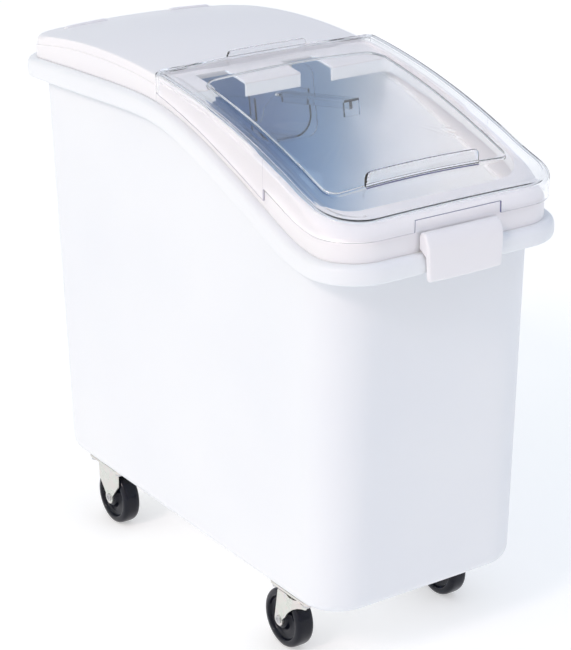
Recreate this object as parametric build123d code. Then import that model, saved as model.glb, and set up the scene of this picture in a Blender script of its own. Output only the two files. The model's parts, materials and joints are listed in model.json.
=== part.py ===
from build123d import *
import os
from math import sin, cos, asin, radians, degrees, sqrt, hypot

# ---------------------------------------------------------------- driving sizes (mm)
RIM_HW, RIM_HL, RIM_R = 166.5, 371.5, 64.5      # rim: half width, half length, plan corner radius
TUB_Z0 = 94.0                                   # underside of the tub above the floor
TUB_BOT = (148.7, 317.5, 54.0)                  # plan at the bottom: half width, half length, radius
TUB_TOP = (154.3, 342.3, 65.8)                  # plan at z 660
TUB_BOT_YC = -4.0
WALL = 4.0
FLOOR_T = 5.5
RIM_FLANGE = 5.0
YC, ZC = 130.0, -409.0                          # centre line of all the lid arcs (y, z)
R_STEP = 1077.0                                 # side step of the rear cover
R_FRAME = 1084.5                                # top of the frame round the opening
R_RAIL = 1088.0                                 # crest of the side rails and cover edge
CROWN = 6.5                                     # crosswise crown over the width
LID_HW, LID_HL, LID_R = 154.0, 358.6, 51.6      # outer wall of the white lid
COVER_HW = 152.3
COVER_REAR = 357.0
OPEN_HW, OPEN_Y0, OPEN_Y1 = 144.0, -313.0, -37.0  # opening under the clear lid
CL_HW, CL_FRONT, CL_REAR = 160.0, -362.5, 17.0  # clear lid outer half width, front and rear edge
CL_T = 2.8                                      # clear sheet
CL_GAP = 1.5                                    # clear lid over the cover
BEAD_R = 1097.0
PANEL_HW, PANEL_Y0, PANEL_Y1 = 127.0, -297.0, -37.0
LATCH_HW = 53.0
LATCH_PIV = (-364.5, 560.5)
LATCH_PIN_R = 2.0
WHEEL_R, WHEEL_HW = 38.0, 12.0
TRACK_X = 117.0
FRONT_Y, REAR_Y = -199.0, 212.0                 # axle positions
TRAIL = 30.0                                    # swivel pin ahead of the front axle
AXLE_R = 4.0
Y_SHIFT, Z_SHIFT = 3.05, -3.4                    # plan frame to the centre of the outline box and to the floor

os.makedirs("parts", exist_ok=True)


def put(node, shape):
    s = shape if isinstance(shape, list) else [shape]
    solids = []
    for a in s:
        solids += list(a.solids())
    solids = [Pos(0, Y_SHIFT, Z_SHIFT) * b for b in solids]
    c = solids[0] if len(solids) == 1 else Compound(children=solids)
    export_step(c, f"parts/{node}.step")
    print(node, len(solids), round(sum(b.volume for b in solids), 1))


# ---------------------------------------------------------------- helpers
def plan(hw, y0, y1, rf, rr_, z0, z1):
    """Upright block, plan corners rounded rf in front and rr_ behind."""
    f = Rectangle(2 * hw, y1 - y0)
    vs = f.vertices().sort_by(Axis.Y)
    if rf > 0:
        f = fillet(vs[:2], rf)
        vs = f.vertices().sort_by(Axis.Y)
    if rr_ > 0:
        vv = [v for v in f.vertices() if abs(v.Y - (y1 - y0) / 2) < 1e-4]
        f = fillet(vv, rr_)
    return Pos(0, (y0 + y1) / 2, z0) * extrude(f, z1 - z0)


def box(x0, x1, y0, y1, z0, z1):
    return Pos((x0 + x1) / 2, (y0 + y1) / 2, (z0 + z1) / 2) * Box(x1 - x0, y1 - y0, z1 - z0)


def side_below(pts, z_low, hw=190, d=0.0):
    """Solid under a smooth side-profile curve through pts (y, z), over the full width."""
    p = [(0, y, z + d) for y, z in pts]
    top = Spline(*p)
    a, b = p[0], p[-1]
    w = Wire([top, Edge.make_line(b, (0, b[1], z_low)), Edge.make_line((0, b[1], z_low), (0, a[1], z_low)),
              Edge.make_line((0, a[1], z_low), a)])
    f = Face(w)
    return Pos(-hw, 0, 0) * extrude(f, 2 * hw, dir=(1, 0, 0))


AXL = Axis((0, YC, ZC), (1, 0, 0))
A_FRONT, A_REAR = 31.0, -16.0                   # angular span of the lid slabs, front positive


def slab(hw, r_in, r_edge, crown=0.0, cw=COVER_HW, a0=A_REAR, a1=A_FRONT):
    """Part of a solid of revolution about the lid axis, with its crown across the width."""
    e = crown * (1 - (hw / cw) ** 2)
    p = lambda x, r: (x, YC, ZC + r)
    es = [Edge.make_line(p(-hw, r_in), p(-hw, r_edge + e))]
    if crown:
        es.append(Edge.make_three_point_arc(p(-hw, r_edge + e), p(0, r_edge + crown), p(hw, r_edge + e)))
    else:
        es.append(Edge.make_line(p(-hw, r_edge), p(hw, r_edge)))
    es += [Edge.make_line(p(hw, r_edge + e), p(hw, r_in)), Edge.make_line(p(hw, r_in), p(-hw, r_in))]
    f = Face(Wire(es)).rotate(AXL, a0)
    return revolve(f, axis=AXL, revolution_arc=a1 - a0)


def arc_z(y, r):
    return ZC + sqrt(r * r - (y - YC) ** 2)


def try_fillet(s, edges, radii):
    for r in radii:
        try:
            t = fillet(edges, r)
            if t.solids() and all(b.is_valid for b in t.solids()):
                return t
        except Exception:
            pass
    print("  fillet left out", radii)
    return s


# rim lines seen from the side (y, z)
RIM_TOP = [(380, 630.5), (298, 635.5), (220, 639.5), (146, 642.8), (75, 644.5), (30, 643.2), (0, 640.0),
           (-34, 633.5), (-89, 618.0), (-133, 602.5), (-180, 584.5), (-220, 567.5), (-250, 555.5),
           (-275, 547.5), (-300, 543.2), (-330, 542.0), (-385, 542.0)]
RIM_LOW = [(380, 606.0), (315, 609.5), (274, 611.5), (200, 615.0), (139, 618.0), (75, 620.6), (35, 620.8),
           (0, 617.8), (-34, 611.0), (-80, 596.5), (-130, 578.5), (-180, 559.5), (-220, 542.0),
           (-249, 530.5), (-275, 523.5), (-300, 520.2), (-330, 519.5), (-385, 519.5)]
# bottom edge of the clear lid's side skirt (y, z)
SKIRT_REAR = [(30, 660.0), (16, 657.0), (-43, 643.0), (-89, 629.5), (-133, 614.5), (-177, 598.0), (-214, 583.5), (-222, 580.3)]
SKIRT_FRONT = [(-205, 599.8), (-217, 596.0), (-239, 588.0), (-270, 576.5), (-300, 569.5), (-330, 567.2), (-380, 567.0)]

# ---------------------------------------------------------------- tub
def rr_face(hw, hl, r, z, yc=0.0):
    return Pos(0, yc, z) * RectangleRounded(2 * hw, 2 * hl, r)


tub_outer = loft([rr_face(*TUB_BOT, TUB_Z0, TUB_BOT_YC), rr_face(*TUB_TOP, 660)])
bot = [e for e in tub_outer.edges() if abs(e.center().Z - TUB_Z0) < 0.01]
tub_outer = try_fillet(tub_outer, bot, [16, 12, 8])
k = (TUB_Z0 + FLOOR_T - TUB_Z0) / (660 - TUB_Z0)
bi = [TUB_BOT[i] + (TUB_TOP[i] - TUB_BOT[i]) * k - WALL for i in range(3)]
tub_inner = loft([rr_face(*bi, TUB_Z0 + FLOOR_T, TUB_BOT_YC * (1 - k)),
                  rr_face(*[t - WALL for t in TUB_TOP], 660)])
tub_inner = try_fillet(tub_inner, [e for e in tub_inner.edges() if abs(e.center().Z - TUB_Z0 - FLOOR_T) < 0.01], [12, 9, 6])
below_rim_top = side_below(RIM_TOP, 60)


def interp(pts, y):
    for (a, za), (b, zb) in zip(pts, pts[1:]):
        if b <= y <= a:
            return zb + (za - zb) * (y - b) / (a - b)
    return pts[0][1] if y > pts[0][0] else pts[-1][1]


def rim_loop(s, low):
    """Edges of the upper or lower outline of the rim band."""
    out = []
    for e in s.edges():
        c, t = e @ 0.5, e % 0.5
        if abs(t.Z) > 0.9:
            continue
        near_low = abs(c.Z - interp(RIM_LOW, c.Y)) < abs(c.Z - interp(RIM_TOP, c.Y))
        if near_low == low:
            out.append(e)
    return out


rim_solid = plan(RIM_HW, -RIM_HL, RIM_HL, RIM_R, RIM_R, 500, 665) & below_rim_top
rim_solid = rim_solid - side_below(RIM_LOW, 480)
rim_solid = try_fillet(rim_solid, rim_loop(rim_solid, False), [8, 6.5, 5])
rim_solid = try_fillet(rim_solid, rim_loop(rim_solid, True), [4.2, 3.5, 3])
channel = plan(RIM_HW - RIM_FLANGE, -RIM_HL + RIM_FLANGE, RIM_HL - RIM_FLANGE, RIM_R - RIM_FLANGE, RIM_R - RIM_FLANGE, 490, 665)
channel = channel & side_below(RIM_TOP, 470, d=-5.0)
tub = ((tub_outer & below_rim_top) - tub_inner) + (rim_solid - channel - tub_inner)
# thickened floor pads with sockets for the threaded inserts
SWIVEL_Y = FRONT_Y - TRAIL
PLATE_HX, PLATE_HY, PLATE_T = 23.0, 40.0, 3.0
BOLT_X, BOLT_Y = 17.0, 32.0
INS_R, INS_L, BOLT_R = 4.5, 11.0, 3.0
casters = [(-TRACK_X, SWIVEL_Y), (TRACK_X, SWIVEL_Y), (-TRACK_X, REAR_Y), (TRACK_X, REAR_Y)]
bolt_xy = [(cx + i * BOLT_X, cy + j * BOLT_Y) for cx, cy in casters for i in (-1, 1) for j in (-1, 1)]
for cx, cy in casters:
    tub = tub + Pos(cx, cy, TUB_Z0 + FLOOR_T - 2) * extrude(RectangleRounded(50, 78, 8), 12)
for x, y in bolt_xy:
    tub = tub - Pos(x, y, TUB_Z0 + INS_L / 2) * Cylinder(INS_R, INS_L)
put("tub_body", tub)

# ---------------------------------------------------------------- casters
inserts, bolts = [], []
for x, y in bolt_xy:
    inserts.append(Pos(x, y, TUB_Z0 + INS_L / 2) * (Cylinder(INS_R - 0.02, INS_L) - Cylinder(BOLT_R, INS_L + 1)))
    head = Pos(x, y, TUB_Z0 - PLATE_T - 3.6) * extrude(RegularPolygon(5.6, 6), 3.6)
    head = head & Pos(x, y, TUB_Z0 - PLATE_T - 1.8) * Cylinder(5.3, 3.6)
    shank = Pos(x, y, TUB_Z0 - PLATE_T + (PLATE_T + 9.5) / 2) * Cylinder(BOLT_R - 0.02, PLATE_T + 9.5)
    bolts.append(head + shank)
put("caster_inserts", inserts)
put("caster_bolts", bolts)


def plate(cx, cy, hole=0.0):
    p = Pos(cx, cy, TUB_Z0 - PLATE_T) * extrude(RectangleRounded(2 * PLATE_HX, 2 * PLATE_HY, 6), PLATE_T)
    for i in (-1, 1):
        for j in (-1, 1):
            p = p - Pos(cx + i * BOLT_X, cy + j * BOLT_Y, TUB_Z0) * Cylinder(BOLT_R + 0.3, 10)
    if hole:
        p = p - Pos(cx, cy, TUB_Z0) * Cylinder(hole, 10)
    return p


KP_R = 5.0
RACE_Z0, RACE_Z1 = 87.8, TUB_Z0 - PLATE_T
WEB_Z0, WEB_Z1 = 80.4, 83.2
BALL_R, BALL_PR, BALL_Z = 2.3, 15.5, 85.5
LEG_IN, LEG_OUT = 13.8, 16.0
AXLE_Z = WHEEL_R - Z_SHIFT
sw_plates, races, balls, kingpins = [], [], [], []
for cx in (-TRACK_X, TRACK_X):
    sw_plates.append(plate(cx, SWIVEL_Y, KP_R + 0.02))
    ring = Pos(cx, SWIVEL_Y, (RACE_Z0 + RACE_Z1) / 2) * (Cylinder(20, RACE_Z1 - RACE_Z0) - Cylinder(KP_R + 2, 12))
    groove = Pos(cx, SWIVEL_Y, BALL_Z) * Torus(BALL_PR, BALL_R + 0.05)
    races.append(ring - groove)
    for i in range(14):
        a = radians(360 / 14 * i)
        balls.append(Pos(cx + BALL_PR * cos(a), SWIVEL_Y + BALL_PR * sin(a), BALL_Z) * Sphere(BALL_R))
    kp = Pos(cx, SWIVEL_Y, (76.8 + 93.9) / 2) * Cylinder(KP_R, 93.9 - 76.8)
    kp = kp + Pos(cx, SWIVEL_Y, 78.45) * Cylinder(8.5, 3.3)
    kingpins.append(kp)
put("swivel_plates", sw_plates)
put("upper_races", races)
put("bearing_balls", balls)
put("kingpins", kingpins)


def leg(y_pts, x0, x1):
    """Side plate of a fork from its outline (y, z)."""
    w = Polyline(*[(0, a, b) for a, b in y_pts], close=True)
    return Pos(x0, 0, 0) * extrude(make_face(w), x1 - x0, dir=(1, 0, 0))


def arc_pts(cy, cz, r, a0, a1, n=9):
    return [(cy + r * cos(radians(a0 + (a1 - a0) * i / n)), cz + r * sin(radians(a0 + (a1 - a0) * i / n))) for i in range(n + 1)]


sw_outline = [(-256, WEB_Z1 - 0.2), (-198, WEB_Z1 - 0.2)] + arc_pts(FRONT_Y, AXLE_Z, 8.2, 10, -200, 14) + \
    [(-213, 50.5), (-216.5, 56), (-221.5, 61.5), (-229.5, 68), (-239, 73.5), (-248, 77.2), (-256, 79.2)]
ri_outline = [(REAR_Y - 25, RACE_Z1 + 0.5), (REAR_Y + 25, RACE_Z1 + 0.5), (REAR_Y + 24.3, 64)] + \
    arc_pts(REAR_Y, AXLE_Z, 9.0, 22, -202, 12) + [(REAR_Y - 24.3, 64)]


def axle(cx, cy, s):
    """Shoulder bolt with its low round head on the outer side s, thread end inside."""
    sh = Pos(cx, cy, AXLE_Z) * Rot(0, 90, 0) * Cylinder(AXLE_R, 2 * LEG_OUT + 0.0)
    thread = Pos(cx - s * (LEG_OUT + 4.2), cy, AXLE_Z) * Rot(0, 90, 0) * Cylinder(AXLE_R - 0.5, 8.4)
    hd = Pos(cx + s * (LEG_OUT + 0.7), cy, AXLE_Z) * Rot(0, 90, 0) * Cylinder(5.2, 1.4)
    cup = Pos(cx + s * (LEG_OUT + 1.0), cy, AXLE_Z) * Rot(0, 90, 0) * Cylinder(2.6, 1.0)
    return (sh + thread + hd) - cup


def axle_nut(cx, cy, s):
    x = cx - s * LEG_OUT
    x = x if s < 0 else x - 6.0
    n = Pos(x, cy, AXLE_Z) * Rot(0, 90, 0) * extrude(RegularPolygon(6.6, 6), 6.0)
    return n - Pos(x + 3, cy, AXLE_Z) * Rot(0, 90, 0) * Cylinder(AXLE_R - 0.48, 12)


for cx, nm in ((-TRACK_X, "left"), (TRACK_X, "right")):
    web = Pos(cx, (-256 - 203) / 2, WEB_Z0) * extrude(RectangleRounded(2 * LEG_OUT, 53, 4), WEB_Z1 - WEB_Z0)
    web = web + Pos(cx, SWIVEL_Y, (WEB_Z0 + WEB_Z1) / 2) * Cylinder(20, WEB_Z1 - WEB_Z0)
    fork = web + leg(sw_outline, cx - LEG_OUT, cx - LEG_IN) + leg(sw_outline, cx + LEG_IN, cx + LEG_OUT)
    collar = Pos(cx, SWIVEL_Y, WEB_Z1 + 0.7) * (Cylinder(20, 1.8) - Cylinder(10, 4))
    fork = fork + collar
    fork = fork - Pos(cx, SWIVEL_Y, BALL_Z) * Torus(BALL_PR, BALL_R + 0.05)
    fork = fork - Pos(cx, SWIVEL_Y, 80) * Cylinder(KP_R + 0.05, 20)
    fork = fork - Pos(cx, FRONT_Y, AXLE_Z) * Rot(0, 90, 0) * Cylinder(AXLE_R + 0.02, 60)
    put(f"fork_front_{nm}", fork)
    s = 1 if cx > 0 else -1
    put(f"axle_front_{nm}", axle(cx, FRONT_Y, s))
    put(f"axle_nut_front_{nm}", axle_nut(cx, FRONT_Y, s))

rigid, r_axles, r_nuts = [], [], []
for cx in (-TRACK_X, TRACK_X):
    s = 1 if cx > 0 else -1
    f = plate(cx, REAR_Y) + leg(ri_outline, cx - LEG_OUT, cx - LEG_IN) + leg(ri_outline, cx + LEG_IN, cx + LEG_OUT)
    f = f - Pos(cx, REAR_Y, AXLE_Z) * Rot(0, 90, 0) * Cylinder(AXLE_R + 0.02, 60)
    rigid.append(f)
    r_axles.append(axle(cx, REAR_Y, s))
    r_nuts.append(axle_nut(cx, REAR_Y, s))
put("rigid_forks", rigid)
put("rear_axles", r_axles)
put("rear_axle_nuts", r_nuts)

# wheel section (x, r): tread with rounded shoulders, dished web and hub
HUB_HX = 13.4
BUSH_R = 6.5


def wheel(cx, cy):
    h, R = WHEEL_HW, WHEEL_R
    half = [(0, R), (h - 5, R - 0.3), (h - 2.2, R - 1.6), (h - 0.4, R - 4.4), (h, R - 7.5), (h - 1.0, R - 9.5),
            (h - 5.0, R - 11.0), (h - 6.0, R - 14), (h - 5.6, 14.0), (h - 2.8, 12.0), (HUB_HX, 11.0), (HUB_HX, BUSH_R + 0.02)]
    pts = [(x, 0, r) for x, r in half] + [(-x, 0, r) for x, r in reversed(half[1:])]
    f = make_face(Polyline(*pts, close=True))
    w = revolve(f, axis=Axis((0, 0, 0), (1, 0, 0)), revolution_arc=360)
    return Pos(cx, cy, AXLE_Z) * w


def bushing(cx, cy):
    return Pos(cx, cy, AXLE_Z) * Rot(0, 90, 0) * (Cylinder(BUSH_R, 2 * HUB_HX) - Cylinder(AXLE_R + 0.06, 50))


for cx, cy, nm in ((-TRACK_X, FRONT_Y, "front_left"), (TRACK_X, FRONT_Y, "front_right"),
                   (-TRACK_X, REAR_Y, "rear_left"), (TRACK_X, REAR_Y, "rear_right")):
    put(f"wheel_{nm}", wheel(cx, cy))
    put(f"bushing_{nm}", bushing(cx, cy))
print("casters ready")

# ---------------------------------------------------------------- surfaces of the lids
# the arcs flatten out towards the front edge: frame top line there (y, z) for radius R_FRAME
FLAT = [(-236, 611.95), (-250, 606.9), (-270, 599.2), (-290, 592.3), (-310, 586.3), (-330, 581.2), (-350, 577.2), (-385, 572.0)]


def below(hw, radius, crown=0.0, z_low=500.0, d=0.0):
    """Everything under the lid surface of the given radius, down to z_low."""
    r = radius + d
    s = slab(hw, 1010.0, r, crown)
    off = (r - R_FRAME + 0.45 * crown) * 1.085
    front = side_below(FLAT, 470, hw=hw, d=off)
    return (s + front) & box(-hw - 1, hw + 1, -400, 400, z_low, 760)


# ---------------------------------------------------------------- white lid
def front_slope(hw, y0, r, z):
    """Everything in front of and above the sloping path that the clear lid's front skirt takes."""
    f = Pos(0, -400) * Rectangle(340, 200) - Pos(0, (y0 + 0) / 2) * RectangleRounded(2 * hw, -y0, r)
    return Pos(0, 0, z) * extrude(f, 90, dir=(0, 0.866, 0.5))


rim_gap = side_below(RIM_TOP, 480, d=0.3)
front_half = box(-200, 200, -400, 20, 480, 760)
rear_half = box(-200, 200, 20, 400, 480, 760)
wall_plan = plan(LID_HW, -LID_HL, LID_HL, LID_R, LID_R, 505, 720)
skin_a = (wall_plan & below(170, R_STEP) & rear_half) + (wall_plan & below(170, R_FRAME) & front_half)
cover_plan = plan(COVER_HW, -350, COVER_REAR, 46, 50, 505, 730)
skin_b = cover_plan & below(156, R_RAIL, CROWN)
skin_b = skin_b - (plan(145, -344, 20, 40, 0, 500, 760) - below(156, R_FRAME))
skin_b = skin_b - (box(-200, 200, -400, -190, 500, 760) - below(170, R_FRAME))
outer_skin = skin_a + skin_b
void_a = plan(LID_HW - 3, -LID_HL + 3, LID_HL - 3, LID_R - 3, LID_R - 3, 490, 720) & below(170, R_STEP - 3.2, z_low=495)
void_b = plan(COVER_HW - 3, 20, COVER_REAR - 3, 0, 47, 495, 730) & below(156, R_RAIL - 3.2, CROWN, z_low=495)
void_c = plan(COVER_HW - 3, -347, 21, 44, 0, 495, 730) & below(156, R_FRAME - 3.2, z_low=495)
voids = (void_a + void_b + void_c) - front_slope(153.3, -356.0, 50.2, 562.6)
lid = outer_skin - voids
lid = lid - rim_gap
# opening with a turned-down lip
lip_o = plan(OPEN_HW + 2.6, OPEN_Y0 - 2.6, OPEN_Y1 + 2.6, 52, 14, 500, 740)
opening = plan(OPEN_HW, OPEN_Y0, OPEN_Y1, 50, 12, 490, 750)
lip_band = below(156, R_FRAME, z_low=500) - below(160, R_FRAME - 17.0, z_low=490)
lip = (lip_o & lip_band) - opening
lid = (lid - opening) + lip
for x0, x1 in ((-107, -64), (14, 60)):           # two notches in the opening's rear edge
    lid = lid - box(x0, x1, OPEN_Y1 - 4, 8, 600, 700)
lid = lid - front_slope(156.6, -359.1, 52.1, 566.2)
# locating skirt inside the tub mouth
PLUG = (148.2, -331.8, 334.8, 57.0)
plug = plan(PLUG[0], PLUG[1], PLUG[2], PLUG[3], PLUG[3], 495, 720) - plan(PLUG[0] - 2.5, PLUG[1] + 2.5, PLUG[2] - 2.5, PLUG[3] - 2.5, PLUG[3] - 2.5, 490, 730)
plug = (plug & below(170, R_STEP - 1.5, z_low=495)) - side_below(RIM_TOP, 470, d=-12.0)
shelf = (plan(LID_HW - 0.5, -LID_HL + 0.5, LID_HL - 0.5, LID_R, LID_R, 495, 720) - plan(PLUG[0] - 2.5, PLUG[1] + 2.5, PLUG[2] - 2.5, PLUG[3] - 2.5, PLUG[3] - 2.5, 490, 730))
shelf = (shelf & side_below(RIM_TOP, 480, d=3.3)) - rim_gap
lid = lid + shelf + plug
# two low stops near the rear edge of the cover
for x0, x1 in ((-110, -48), (48, 110)):
    st = box(x0, x1, 318, 326, 640, 690) & below(156, R_RAIL + 3.2, CROWN)
    lid = lid + (st - below(160, R_RAIL - 2, CROWN, z_low=490))
# lugs for the latch pin
PY, PZ = LATCH_PIV
lug_x = 30.0
for sx in (-1, 1):
    lug = Pos(sx * lug_x, PY, PZ) * Rot(0, 90, 0) * Cylinder(4.4, 8) + box(sx * lug_x - 4, sx * lug_x + 4, PY, -LID_HL + 1.5, PZ - 4.4, PZ + 4.4)
    lid = lid + lug
for sx in (-1, 1):
    lid = lid - Pos(sx * lug_x, PY, PZ) * Rot(0, 90, 0) * Cylinder(LATCH_PIN_R + 0.05, 20)
HX, HY, HZ = 58.0, 71.0, 631.2                  # top edge of the slot in the scoop's guard
screw_xy = [(HX - 12, 50.0), (HX + 12, 50.0)]


def screw_z(x, y):
    return arc_z(y, R_RAIL - 3.3 + CROWN * (1 - (x / COVER_HW) ** 2))


for x, y in screw_xy:
    lid = lid - Pos(x, y, screw_z(x, y)) * Cylinder(1.8, 4.2)
put("lid_base", lid)

# ---------------------------------------------------------------- front latch
def yz(pts, x0, x1):
    return Pos(x0, 0, 0) * extrude(make_face(Polyline(*[(0, a, b) for a, b in pts], close=True)), x1 - x0, dir=(1, 0, 0))


KN = 5.4
LF = -377.6                                     # front face of the latch
top_arc = arc_pts(PY, PZ, KN, 0, 112, 8)
sect = [(PY + KN, 543.4)] + top_arc + [(-369.5, 563.6), (-372.6, 560.8), (-375.2, 557.0), (-377.0, 552.0), (LF, 546.0), (LF, 514.5),
                                      (-376.8, 513.3), (-373.4, 513.3), (-372.6, 514.2), (-372.6, 541.0), (-371.2, 543.4)]
latch = yz(sect, -LATCH_HW, LATCH_HW)
side_edges = [e for e in latch.edges() if abs(abs((e @ 0.5).X) - LATCH_HW) < 0.01 and (e @ 0.5).Y < -374]
latch = try_fillet(latch, side_edges, [2.4, 1.8, 1.2, 0.8])
cav = yz([(PY + KN + 1, 546.0), (PY + KN + 1, 553.5), (PY - 6.5, 553.5), (-373.4, 549.5), (-373.4, 546.0)], -LATCH_HW + 3, LATCH_HW - 3)
latch = latch - cav
for sx in (-1, 1):
    latch = latch - box(sx * lug_x - 4.5, sx * lug_x + 4.5, PY - 5.2, PY + 9, 546, 570)
latch = latch - Pos(0, PY, PZ) * Rot(0, 90, 0) * Cylinder(LATCH_PIN_R + 0.01, 2 * LATCH_HW - 4)
put("front_latch", latch)
put("latch_pin", Pos(0, PY, PZ) * Rot(0, 90, 0) * Cylinder(LATCH_PIN_R, 2 * LATCH_HW - 5))

# ---------------------------------------------------------------- clear sliding lid
U0 = R_RAIL + CL_GAP                            # underside at the sides
cl_plan = plan(CL_HW, CL_FRONT, CL_REAR, 55.5, 9, 500, 760)
skirt_plan = cl_plan - plan(CL_HW - CL_T, CL_FRONT + CL_T, CL_REAR - CL_T, 52.7, 6.2, 490, 770)
skirt_low = side_below(SKIRT_REAR, 470) & box(-200, 200, -215.5, 60, 480, 700)
skirt_low = skirt_low + (side_below(SKIRT_FRONT, 470) & box(-200, 200, -390, -215.5, 480, 700))
skirt = (skirt_plan & below(170, BEAD_R - 2, z_low=510)) - skirt_low
floor = (cl_plan & below(170, U0 + CL_T, CROWN, z_low=510)) - below(175, U0, CROWN, z_low=500)
bead = cl_plan - plan(CL_HW - 16, CL_FRONT + 17, CL_REAR - 14, 42, 5, 490, 770)
bead = (bead & below(170, BEAD_R, 2.2, z_low=510)) - below(175, U0 + 0.4, CROWN, z_low=500)
inner_bead = (plan(CL_HW - CL_T, CL_FRONT + CL_T, CL_REAR - CL_T, 52.7, 6.2, 490, 770) - plan(CL_HW - 13.2, CL_FRONT + 14.2, CL_REAR - 11.2, 44, 6, 480, 780))
bead = bead - (inner_bead & below(175, BEAD_R - CL_T, 2.2, z_low=500))
skirt = skirt - (box(-155.4, 155.4, 0, 40, 600, 720) & below(170, U0 + 0.2, CROWN, z_low=590))
clear = skirt + floor + bead
clear = clear - (inner_bead & (below(175, BEAD_R - CL_T, 2.2, z_low=500)))
panel_o = plan(PANEL_HW, PANEL_Y0, PANEL_Y1, 16, 20, 500, 760)
panel_i = plan(PANEL_HW - CL_T, PANEL_Y0 + CL_T, PANEL_Y1 - CL_T, 13.2, 17.2, 490, 770)
panel = (panel_o & below(175, U0 + CL_T + 3.4, CROWN, z_low=510)) - below(180, U0 + 0.4, CROWN, z_low=500)
clear = clear + panel - ((panel_i & below(185, U0 + 3.4, CROWN, z_low=500)))
# notch over the latch, front finger plate and rear pull
clear = clear - plan(60, CL_FRONT - 5, CL_FRONT + 5, 0, 0, 560, 580.5)
grip = plan(79, PANEL_Y0 - 1.0, PANEL_Y0 + 2.4, 0, 0, 560, 760) & below(180, 1115.5, 0.0, z_low=560)
grip = grip - below(185, U0 + 3.0, CROWN, z_low=520)
clear = clear + grip
pull = plan(57, CL_REAR - 4.6, CL_REAR - 1.2, 0, 0, 600, 760) & below(180, 1106.5, 0.0, z_low=560)
pull = pull - below(185, BEAD_R - 1, 0, z_low=520)
clear = clear + pull
put("sliding_lid", clear)

# ---------------------------------------------------------------- scoop and its hook
PITCH = 9.0
hook_plate = box(HX - 17, HX + 17, 40, 84, 655, 700) & (below(160, R_RAIL - 3.35, CROWN, z_low=600) - below(165, R_RAIL - 6.6, CROWN, z_low=590))
post = box(HX - 7, HX + 7, 56.5, 61.5, 626, 677.5)
finger = box(HX - 7, HX + 7, 56.5, 80, 626, 631)
tip = box(HX - 7, HX + 7, 77.5, 80, 628, 637)
hook = hook_plate + post + finger + tip
screws = []
for x, y in screw_xy:
    zc = screw_z(x, y)
    hook = hook - Pos(x, y, zc) * Cylinder(1.8, 16)
    sc = Pos(x, y, zc - 5.0) * Cylinder(3.6, 2.0) + Pos(x, y, zc - 1.2) * Cylinder(1.75, 6.0)
    sc = sc - Pos(x, y, zc - 5.9) * Box(0.8, 5, 1.4) - Pos(x, y, zc - 5.9) * Box(5, 0.8, 1.4)
    screws.append(sc)
put("scoop_hook", hook)
put("hook_screws", screws)

# scoop in its own frame: origin at the slot's top edge, handle towards -y, bowl towards +y
guard = Pos(0, 1.5, -38.0) * Rot(90, 0, 0) * extrude(RectangleRounded(98, 92, 16), 1.5, both=True)
guard = guard - box(-9.5, 9.5, -3, 6, -15.2, 0.9)
bw, bd, bl, bt = 84.0, 58.0, 112.0, 2.4
tr_o = box(-bw / 2, bw / 2, 2.0, bl, -24 - bd, -24)
tr_o = fillet([e for e in tr_o.edges() if abs((e % 0.5).Y) > 0.9 and (e @ 0.5).Z < -60], 27)
tr_i = box(-bw / 2 + bt, bw / 2 - bt, 3.0, bl + 5, -24 - bd + bt, -20)
tr_i = fillet([e for e in tr_i.edges() if abs((e % 0.5).Y) > 0.9 and (e @ 0.5).Z < -60], 24.6)
bowl = tr_o - tr_i
bowl = bowl - Pos(0, bl + 6, -24) * Rot(-35, 0, 0) * Box(120, 60, 60)
handle = box(-11, 11, -148, 1.0, -25.0, -22.0) + box(-2.2, 2.2, -146, 1.0, -34.0, -23.0)
handle = handle + box(-11, 11, -149.5, -146.5, -42, -22)
scoop = guard + bowl + handle
scoop = Pos(HX, HY, HZ) * Rot(-PITCH, 0, 0) * scoop
put("scoop", scoop)
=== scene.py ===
import json
import math
import bpy
import bmesh
import numpy as np
from mathutils import Vector, Matrix, Quaternion


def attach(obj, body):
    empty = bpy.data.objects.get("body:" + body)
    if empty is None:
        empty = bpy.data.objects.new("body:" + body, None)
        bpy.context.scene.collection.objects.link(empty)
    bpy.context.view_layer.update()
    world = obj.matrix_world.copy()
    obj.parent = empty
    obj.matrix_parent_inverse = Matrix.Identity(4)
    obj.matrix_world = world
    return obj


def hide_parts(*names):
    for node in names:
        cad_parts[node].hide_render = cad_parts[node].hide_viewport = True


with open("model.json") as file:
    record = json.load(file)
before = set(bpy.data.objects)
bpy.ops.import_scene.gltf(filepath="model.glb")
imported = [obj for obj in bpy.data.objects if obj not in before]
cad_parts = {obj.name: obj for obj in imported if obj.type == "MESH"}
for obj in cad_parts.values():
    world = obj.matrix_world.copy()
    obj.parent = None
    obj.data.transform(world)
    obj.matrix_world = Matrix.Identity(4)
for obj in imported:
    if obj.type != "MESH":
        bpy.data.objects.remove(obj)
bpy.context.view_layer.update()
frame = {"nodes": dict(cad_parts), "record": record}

NODES = frame["nodes"]
YS, ZS = 0.00305, -0.0034         # the outline box's centre and the floor against the plan frame


# ---------------------------------------------------------------- node material helpers
def new_mat(name):
    m = bpy.data.materials.new(name)
    m.use_nodes = True
    nt = m.node_tree
    b = nt.nodes["Principled BSDF"]
    return m, nt, b


def texco(nt, scale=1.0):
    tc = nt.nodes.new("ShaderNodeTexCoord")
    mp = nt.nodes.new("ShaderNodeMapping")
    mp.inputs["Scale"].default_value = (scale,) * 3 if isinstance(scale, (int, float)) else scale
    nt.links.new(tc.outputs["Object"], mp.inputs["Vector"])
    return mp.outputs["Vector"]


def noise(nt, vec, scale, detail=3.0, rough=0.5, dist=0.0):
    n = nt.nodes.new("ShaderNodeTexNoise")
    n.inputs["Scale"].default_value = scale
    n.inputs["Detail"].default_value = detail
    n.inputs["Roughness"].default_value = rough
    n.inputs["Distortion"].default_value = dist
    nt.links.new(vec, n.inputs["Vector"])
    return n


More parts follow.
